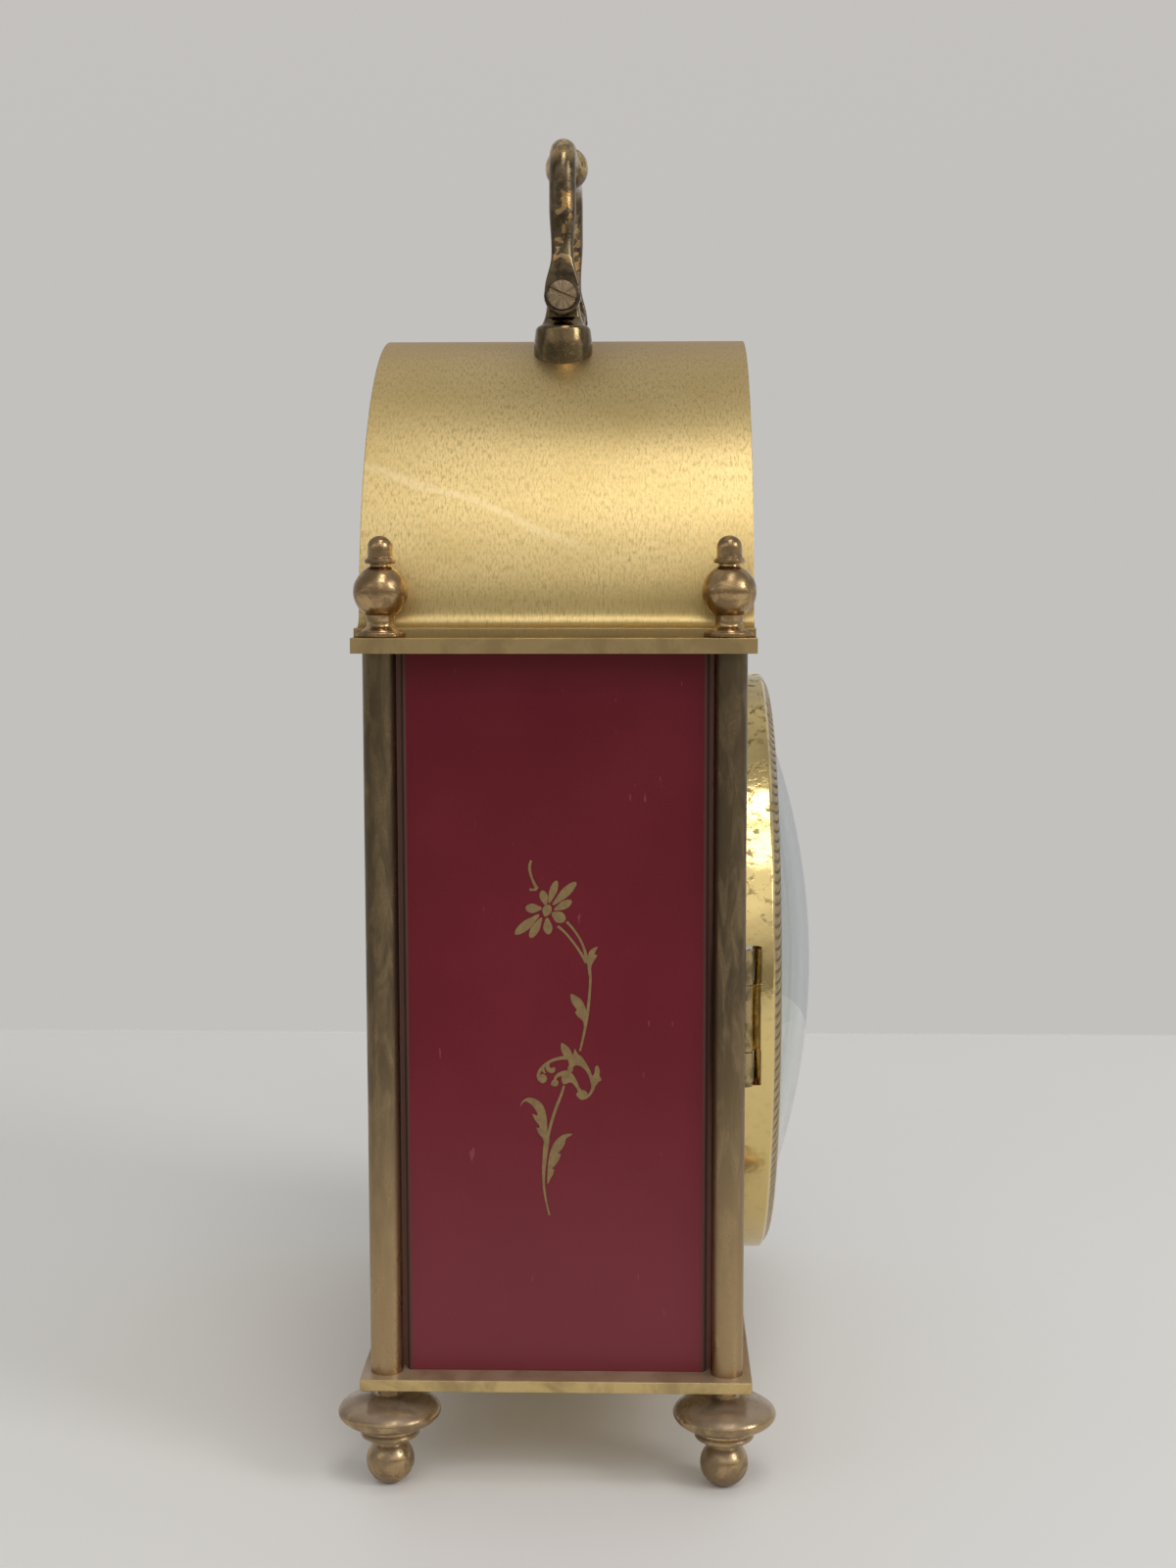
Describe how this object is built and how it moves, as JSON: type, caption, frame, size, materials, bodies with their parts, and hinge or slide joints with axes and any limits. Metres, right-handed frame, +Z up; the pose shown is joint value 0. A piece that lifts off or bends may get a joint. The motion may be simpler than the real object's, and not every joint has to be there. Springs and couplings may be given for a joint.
{
  "type": "mantel clock",
  "caption": "Upright brass mantel clock with an arched top, carrying handle, corner columns on turned feet, lacquered side panels and a domed glass over a round dial.",
  "frame": {"origin": "on the surface that the feet rest on, under the middle of the whole clock's box", "axes": "+Z up, the dial faces -Y, +X to the right of someone who reads the dial"},
  "size_m": [0.1414, 0.0863, 0.2408],
  "materials": {
    "plate_brass": "worn satin",
    "aged_brass": "tarnished",
    "turned_brass": "worn polish",
    "satin_brass": "satin with fine vertical grain",
    "bezel_brass": "polished, lightly pitted",
    "crimson_lacquer": "satin lacquer",
    "dial_white": "enamel",
    "hand_black": "blackened steel",
    "clear_glass": "clear, domed",
    "movement_brass": "satin",
    "screw_steel": "satin",
    "spring_steel": "blued"
  },
  "bodies": {
    "case": {"base_plate": "plate_brass", "top_plate": "plate_brass", "front_left_column": "aged_brass", "front_left_foot": "turned_brass", "front_left_finial": "turned_brass", "front_right_column": "aged_brass", "front_right_foot": "turned_brass", "front_right_finial": "turned_brass", "rear_left_column": "aged_brass", "rear_left_foot": "turned_brass", "rear_left_finial": "turned_brass", "rear_right_column": "aged_brass", "rear_right_foot": "turned_brass", "rear_right_finial": "turned_brass", "left_side_panel": "crimson_lacquer", "right_side_panel": "crimson_lacquer", "front_panel": "crimson_lacquer", "rear_cover": "plate_brass", "rear_cover_screws": "screw_steel", "arched_top": "satin_brass", "front_arch_panel": "satin_brass", "rear_arch_panel": "satin_brass", "left_handle_post": "turned_brass", "right_handle_post": "turned_brass", "handle_screws": "aged_brass", "case_hinge_leaf": "plate_brass", "hinge_pin": "screw_steel", "bezel_catch": "screw_steel", "dial_plate": "dial_white", "movement_front_plate": "movement_brass", "movement_rear_plate": "movement_brass", "movement_pillars": "movement_brass", "movement_standoffs": "movement_brass", "click_spring": "spring_steel", "balance_cock": "movement_brass"},
    "handle": {"bail_handle": "aged_brass"},
    "bezel": {"bezel_ring": "bezel_brass", "domed_glass": "clear_glass", "glass_retainer": "bezel_brass", "bezel_hinge_leaf": "plate_brass"},
    "minute_arbor": {"minute_hand": "hand_black", "hand_nut": "movement_brass", "cannon_pinion": "screw_steel", "centre_wheel": "movement_brass"},
    "hour_pipe": {"hour_hand": "hand_black", "hour_wheel": "movement_brass"},
    "minute_work": {"minute_wheel": "movement_brass"},
    "intermediate": {"intermediate_wheel": "movement_brass"},
    "barrel": {"mainspring_barrel": "movement_brass", "mainspring": "spring_steel"},
    "winding": {"winding_arbor": "screw_steel", "ratchet_wheel": "screw_steel"},
    "click_pawl": {"click": "screw_steel"},
    "third": {"third_wheel": "movement_brass"},
    "fourth": {"fourth_wheel": "movement_brass"},
    "escape": {"escape_wheel": "movement_brass"},
    "lever": {"pallet_lever": "screw_steel"},
    "balance": {"balance_wheel": "movement_brass", "hairspring": "spring_steel"},
    "regulator": {"regulator_index": "screw_steel"}
  },
  "joints": [
    {"name": "bail_swing", "type": "hinge", "parent": "case", "child": "handle", "pos_m": [0, 0.00475, 0.20979], "axis": [1, 0, 0], "range_deg": [-90, 90]},
    {"name": "bezel_hinge", "type": "hinge", "parent": "case", "child": "bezel", "pos_m": [-0.0573, -0.02805, 0.0825], "axis": [0, 0, -1], "range_deg": [0, 95]},
    {"name": "minute_turn", "type": "hinge", "parent": "case", "child": "minute_arbor", "pos_m": [0, 0.00475, 0.0825], "axis": [0, 1, 0], "continuous": true},
    {"name": "hour_turn", "type": "hinge", "parent": "case", "child": "hour_pipe", "pos_m": [0, 0.00475, 0.0825], "axis": [0, 1, 0], "continuous": true},
    {"name": "minute_wheel_turn", "type": "hinge", "parent": "case", "child": "minute_work", "pos_m": [0.0144, 0.00475, 0.0825], "axis": [0, 1, 0], "continuous": true},
    {"name": "intermediate_turn", "type": "hinge", "parent": "case", "child": "intermediate", "pos_m": [-0.01615, 0.00475, 0.0707], "axis": [0, 1, 0], "continuous": true},
    {"name": "barrel_turn", "type": "hinge", "parent": "case", "child": "barrel", "pos_m": [0, 0.00475, 0.05], "axis": [0, 1, 0], "continuous": true},
    {"name": "third_turn", "type": "hinge", "parent": "case", "child": "third", "pos_m": [0.009, 0.00475, 0.09809], "axis": [0, 1, 0], "continuous": true},
    {"name": "fourth_turn", "type": "hinge", "parent": "case", "child": "fourth", "pos_m": [-0.00578, 0.00475, 0.10205], "axis": [0, 1, 0], "continuous": true},
    {"name": "escape_turn", "type": "hinge", "parent": "case", "child": "escape", "pos_m": [-0.01721, 0.00475, 0.10865], "axis": [0, 1, 0], "continuous": true},
    {"name": "winding_turn", "type": "hinge", "parent": "case", "child": "winding", "pos_m": [0, 0.00475, 0.05], "axis": [0, 1, 0], "range_deg": [0, 1440]},
    {"name": "click_lift", "type": "hinge", "parent": "case", "child": "click_pawl", "pos_m": [-0.0115, -0.01775, 0.055], "axis": [0, -1, 0], "range_deg": [0, 6], "stiffness_Nm_per_rad": 0.0005},
    {"name": "pallet_rock", "type": "hinge", "parent": "case", "child": "lever", "pos_m": [-0.01142, 0.00475, 0.11554], "axis": [0, 1, 0], "range_deg": [-6, 6]},
    {"name": "balance_swing", "type": "hinge", "parent": "case", "child": "balance", "pos_m": [-0.00003, 0.00475, 0.11554], "axis": [0, 1, 0], "range_deg": [-270, 270], "stiffness_Nm_per_rad": 0.000012},
    {"name": "regulator_turn", "type": "hinge", "parent": "case", "child": "regulator", "pos_m": [-0.00003, 0.01245, 0.11554], "axis": [0, 1, 0], "range_deg": [-25, 25]}
  ],
  "couplings": [
    {"joint": "hour_turn", "follows": "minute_turn", "ratio": 0.083333},
    {"joint": "minute_wheel_turn", "follows": "minute_turn", "ratio": -0.33333},
    {"joint": "intermediate_turn", "follows": "minute_turn", "ratio": -0.11111},
    {"joint": "barrel_turn", "follows": "minute_turn", "ratio": 0.018519},
    {"joint": "third_turn", "follows": "minute_turn", "ratio": -8},
    {"joint": "fourth_turn", "follows": "minute_turn", "ratio": 60},
    {"joint": "escape_turn", "follows": "minute_turn", "ratio": -600}
  ]
}
